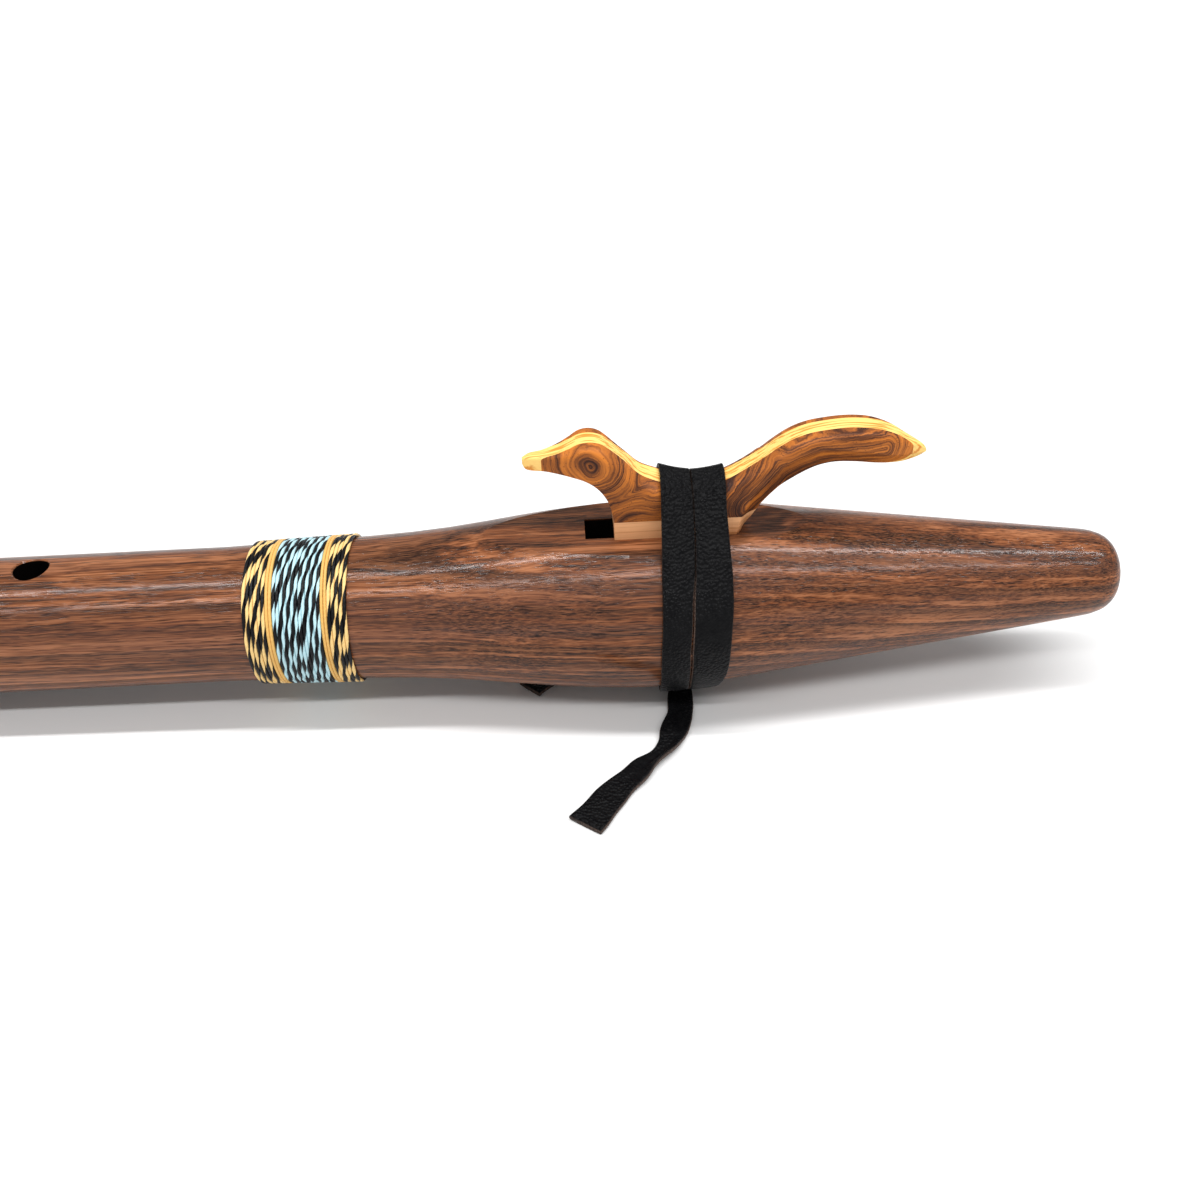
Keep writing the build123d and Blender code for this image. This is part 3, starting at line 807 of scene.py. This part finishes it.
def lace_turn(name, low_edge, high_edge, seam, seed):
    """One turn of the lace round the block and the belly, between two edges. Its rawest edge is
    the one at the seam: -1 for the lower edge, 1 for the higher."""
    shapes = {}
    rings = []
    values = []
    for degrees in turn_angles():
        from_top = min(degrees, 360.0 - degrees)
        angle = math.radians(degrees)
        low, high = table_value(low_edge, from_top), table_value(high_edge, from_top)
        ring = []
        for across, height, raw in lace_section(0.0, LACE_THICKNESS - 0.1):
            x = lerp(low, high, (across + 1.0) / 2.0)
            loose = 0.03 + 0.09 * smooth((from_top - 40.0) / 20.0)
            x += wander(degrees * 0.05, seed + (1.0 if across > 0 else 2.0), loose) * abs(across)
            key = round(x / LOOP_STEP) * LOOP_STEP
            for k in (key - LOOP_STEP, key, key + LOOP_STEP):
                if k not in shapes:
                    shapes[k] = LoopShape(k)
            a, b = (key, key + LOOP_STEP) if x >= key else (key - LOOP_STEP, key)
            # the grain side wanders a little, and the side on the wood lies flat
            lift = height
            if height > LACE_THICKNESS / 2.0:
                lift += wander(degrees * 0.11 + across * 0.8, seed + 5.0, 0.06)
            share = (x - a) / LOOP_STEP
            radius = lerp(shapes[a].radius(angle, lift), shapes[b].radius(angle, lift), share)
            ring.append((x, radius * math.sin(angle), radius * math.cos(angle)))
            opened = smooth((from_top - 42.0) / 18.0) if across * seam > 0.0 else 0.0
            values.append(raw * lerp(0.12, 1.0, opened))
        rings.append(ring)
    points = [p for ring in rings for p in ring]
    return mesh_piece(name, points, skin(rings, True), values=values)


def route_line(route):
    """The smooth line of a tail: a NURBS spline with the route's points as its control points."""
    curve = bpy.data.curves.new("route", "CURVE")
    curve.dimensions = "3D"
    curve.resolution_u = 16
    spline = curve.splines.new("NURBS")
    spline.points.add(len(route) - 1)
    for point, (x, y) in zip(spline.points, route):
        point.co = (x * MM, y * MM, (floor_z(x) + LACE_THICKNESS / 2.0) * MM, 1.0)
    spline.order_u = 3
    spline.use_endpoint_u = True
    carrier = bpy.data.objects.new("route", curve)
    bpy.context.scene.collection.objects.link(carrier)
    mesh = bpy.data.meshes.new_from_object(carrier)
    line = [v.co.copy() for v in mesh.vertices]
    bpy.data.objects.remove(carrier)
    bpy.data.meshes.remove(mesh)
    return line


def lace_tail(name, route, width, shape, seed):
    """A free end of the lace, lying along its route, with wandering cut edges. shape gives, by the
    share of its length, how much of its width it shows and how high one edge rolls up."""
    line = route_line(route)
    up_floor = Vector((FLOOR_SLOPE, 0.0, 1.0)).normalized()
    travelled = [0.0]
    for a, b in zip(line, line[1:]):
        travelled.append(travelled[-1] + (b - a).length / MM)
    total = travelled[-1]
    rings = []
    values = []
    for i, centre in enumerate(line):
        along = (line[min(i + 1, len(line) - 1)] - line[max(i - 1, 0)]).normalized()
        across_way = along.cross(up_floor).normalized()
        s = travelled[i]
        narrow = curve_value([(share, part) for share, part, _ in shape], s / total)
        turn_up = curve_value([(share, rise) for share, _, rise in shape], s / total)
        ring = []
        for across, height, raw in lace_section(-LACE_THICKNESS / 2.0, LACE_THICKNESS / 2.0):
            edge = wander(s * 0.13, seed + (1.0 if across > 0 else 2.0), CUT_WANDER) * abs(across)
            a = across * width * narrow / 2.0 + edge
            curl = wander(s * 0.09 + a * 0.06, seed + 4.0, CURL)
            up = height + max(0.0, curl) + 0.012 * a * a
            up += turn_up * smooth(-across) * (1.0 - 0.25 * (across < -0.95))
            ring.append(centre / MM + across_way * a + up_floor * up)
            values.append(raw * 0.45)
        rings.append(ring)
    points = [p for ring in rings for p in ring]
    piece = mesh_piece(name, points, skin(rings, False), values=values)
    return piece


def lace_knot(name):
    """The flattened knot under the belly: a rounded pad with a pinched waist."""
    rings = []
    for i in range(15):
        tilt = math.radians(lerp(-84.0, 84.0, i / 14))
        ring = []
        for j in range(40):
            turn = math.tau * j / 40
            thin = math.cos(tilt) ** 0.5
            y = KNOT_HALF[1] * thin * math.copysign(abs(math.sin(turn)) ** 0.6, math.sin(turn))
            x = KNOT_HALF[0] * thin * math.copysign(abs(math.cos(turn)) ** 0.6, math.cos(turn))
            x *= 1.0 - 0.12 * math.exp(-((y / 3.0) ** 2))
            x += KNOT_X + wander(turn * 3.0, 3.0, 0.15)
            low = floor_z(x) + KNOT_GAP
            ring.append((x, y, lerp(low, KNOT_TOP, 0.5 + 0.5 * math.sin(tilt))))
        rings.append(ring)
    points = [p for ring in rings for p in ring]
    return mesh_piece(name, points, skin(rings, False))


# --- scene -----------------------------------------------------------------------------------
FLOOR_REACH = 4000.0
LIGHT_DISTANCE = 8.0  # metres
FILL = 0.31
EXPOSURE = 0.5


def make_camera():
    right = Vector(CAMERA_RIGHT).normalized()
    back = right.cross(Vector(CAMERA_UP)).normalized()
    up = back.cross(right)
    turn = Matrix((right, up, back)).transposed().to_4x4()
    data = bpy.data.cameras.new("camera")
    data.lens = CAMERA_LENS
    data.sensor_width = CAMERA_SENSOR
    data.clip_start = 0.01
    data.clip_end = 20.0
    camera = bpy.data.objects.new("camera", data)
    camera.matrix_world = Matrix.Translation(Vector(CAMERA_PLACE) * MM) @ turn
    bpy.context.scene.collection.objects.link(camera)
    bpy.context.scene.camera = camera


def make_floor():
    reach = FLOOR_REACH
    corners = ((-reach, -reach), (reach, -reach), (reach, reach), (-reach, reach))
    floor = mesh_piece("floor", [(x, y, floor_z(x)) for x, y in corners], [(0, 1, 2, 3)])
    paint(floor, floor_material())


def strip_light(name, height, lean, spread, strength):
    """A long softbox over the flute, along it. height is in degrees above the horizon in front of
    the flute, lean in degrees towards the mouth end, and spread the degrees it takes up across."""
    far = LIGHT_DISTANCE
    up, side = math.radians(height), math.radians(lean)
    toward = Vector((math.sin(side), -math.cos(up) * math.cos(side), math.sin(up) * math.cos(side)))
    data = bpy.data.lights.new(name, "AREA")
    data.shape = "RECTANGLE"
    data.size = 2.0 * far
    data.size_y = 2.0 * far * math.tan(math.radians(spread / 2.0))
    data.energy = strength * math.pi * far**2
    across = toward.cross(Vector((1.0, 0.0, 0.0))).normalized()
    along = across.cross(toward)
    light = bpy.data.objects.new(name, data)
    turn = Matrix((along, across, toward)).transposed().to_4x4()
    light.matrix_world = Matrix.Translation(Vector((0.4, 0.0, 0.0)) + toward * far) @ turn
    bpy.context.scene.collection.objects.link(light)


def make_light():
    world = bpy.data.worlds.new("studio")
    world.use_nodes = True
    background = world.node_tree.nodes["Background"]
    background.inputs["Color"].default_value = (1.0, 1.0, 1.0, 1.0)
    background.inputs["Strength"].default_value = FILL
    bpy.context.scene.world = world
    strip_light("strip_overhead", 89.0, 6.0, 3.0, 3.1)
    strip_light("strip_front", 60.0, 0.0, 3.4, 1.65)
    bpy.context.scene.view_settings.view_transform = "Standard"
    bpy.context.scene.view_settings.exposure = EXPOSURE


make_camera()
make_floor()
make_light()

WALNUT_MATERIAL = walnut()
for name in ("body_upper_half", "body_lower_half"):
    paint(nodes[name], WALNUT_MATERIAL)
PLUG_WOOD = plain_wood("plug_wood", (0.022, 0.012, 0.009), (0.012, 0.007, 0.005), (30.0, 1.2, 1.2), 0.6)
paint(nodes["partition_plug"], PLUG_WOOD)
BASE_WOOD = plain_wood("base_wood", (0.84, 0.44, 0.21), (0.52, 0.20, 0.07), (60.0, 60.0, 1.3))
CORE_WOOD = plain_wood("core_wood", (0.98, 0.64, 0.19), (0.66, 0.24, 0.03), (34.0, 0.55, 2.4))
CHEEK_WOOD = figured_wood()
LAYERS = [
    ("layer_base", "block_base", "base_wood", BASE_WOOD, [((0, 0, BASE_TOP_Z), (0, 0, 1))]),
    ("layer_core", "block_core", "core_wood", CORE_WOOD,
     [((0, 0, BASE_TOP_Z), (0, 0, -1)), ((0, CORE_HALF, 0), (0, 1, 0)), ((0, -CORE_HALF, 0), (0, -1, 0))]),
    ("layer_cheek_near", "block_cheek_near", "cheek_wood", CHEEK_WOOD,
     [((0, 0, BASE_TOP_Z), (0, 0, -1)), ((0, -CORE_HALF, 0), (0, 1, 0))]),
    ("layer_cheek_far", "block_cheek_far", "cheek_wood", CHEEK_WOOD,
     [((0, 0, BASE_TOP_Z), (0, 0, -1)), ((0, CORE_HALF, 0), (0, -1, 0))]),
]
for name, node, slot, material, cuts in LAYERS:
    layer = block_layer(name, cuts)
    paint(layer, material)
    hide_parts(node)
    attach(layer, "block")

BLACK = (0.003, 0.003, 0.004)
THREADS = {
    "variegated_thread": thread("variegated_thread", (0.88, 0.60, 0.24), BLACK, 11.1, 0.40, 1.0),
    "turquoise_thread": thread("turquoise_thread", (0.50, 0.74, 0.80), BLACK, 10.26, 0.40, 4.0),
    "yellow_thread": thread("yellow_thread", (0.76, 0.45, 0.13), BLACK, 9.0, 1.0, 7.0),
}
for node, low, high, turns, slot in WRAPS:
    winding = wound_thread(node + "_thread", low, high, turns)
    paint(winding, THREADS[slot])
    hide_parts(node)
    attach(winding, "body")

LEATHER = leather()
# (share of the length, share of the width shown, mm that the right edge turns up)
LONG_SHAPE = [
    (0.0, 0.74, 0.0), (0.12, 0.82, 0.0), (0.30, 0.84, 0.2), (0.42, 0.66, 1.6), (0.50, 0.62, 2.0),
    (0.60, 0.78, 1.2), (0.72, 0.96, 0.2), (0.88, 1.12, 0.0), (1.0, 1.15, 0.0),
]
SHORT_SHAPE = [(0.0, 0.8, 0.0), (0.3, 1.0, 0.0), (1.0, 1.0, 0.0)]
LACE = [
    (lace_turn("lace_turn_front", FRONT_EDGE, SEAM_FRONT, 1.0, 11.0), "strap_turn_front"),
    (lace_turn("lace_turn_rear", SEAM_REAR, REAR_EDGE, -1.0, 23.0), "strap_turn_rear"),
    (lace_knot("lace_knot"), "strap_knot"),
    (lace_tail("lace_tail_long", LONG_TAIL, LONG_TAIL_WIDTH, LONG_SHAPE, 31.0), "strap_tail_long"),
    (lace_tail("lace_tail_short", SHORT_TAIL, SHORT_TAIL_WIDTH, SHORT_SHAPE, 47.0), "strap_tail_short"),
]
for piece, node in LACE:
    paint(piece, LEATHER)
    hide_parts(node)
    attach(piece, "block")
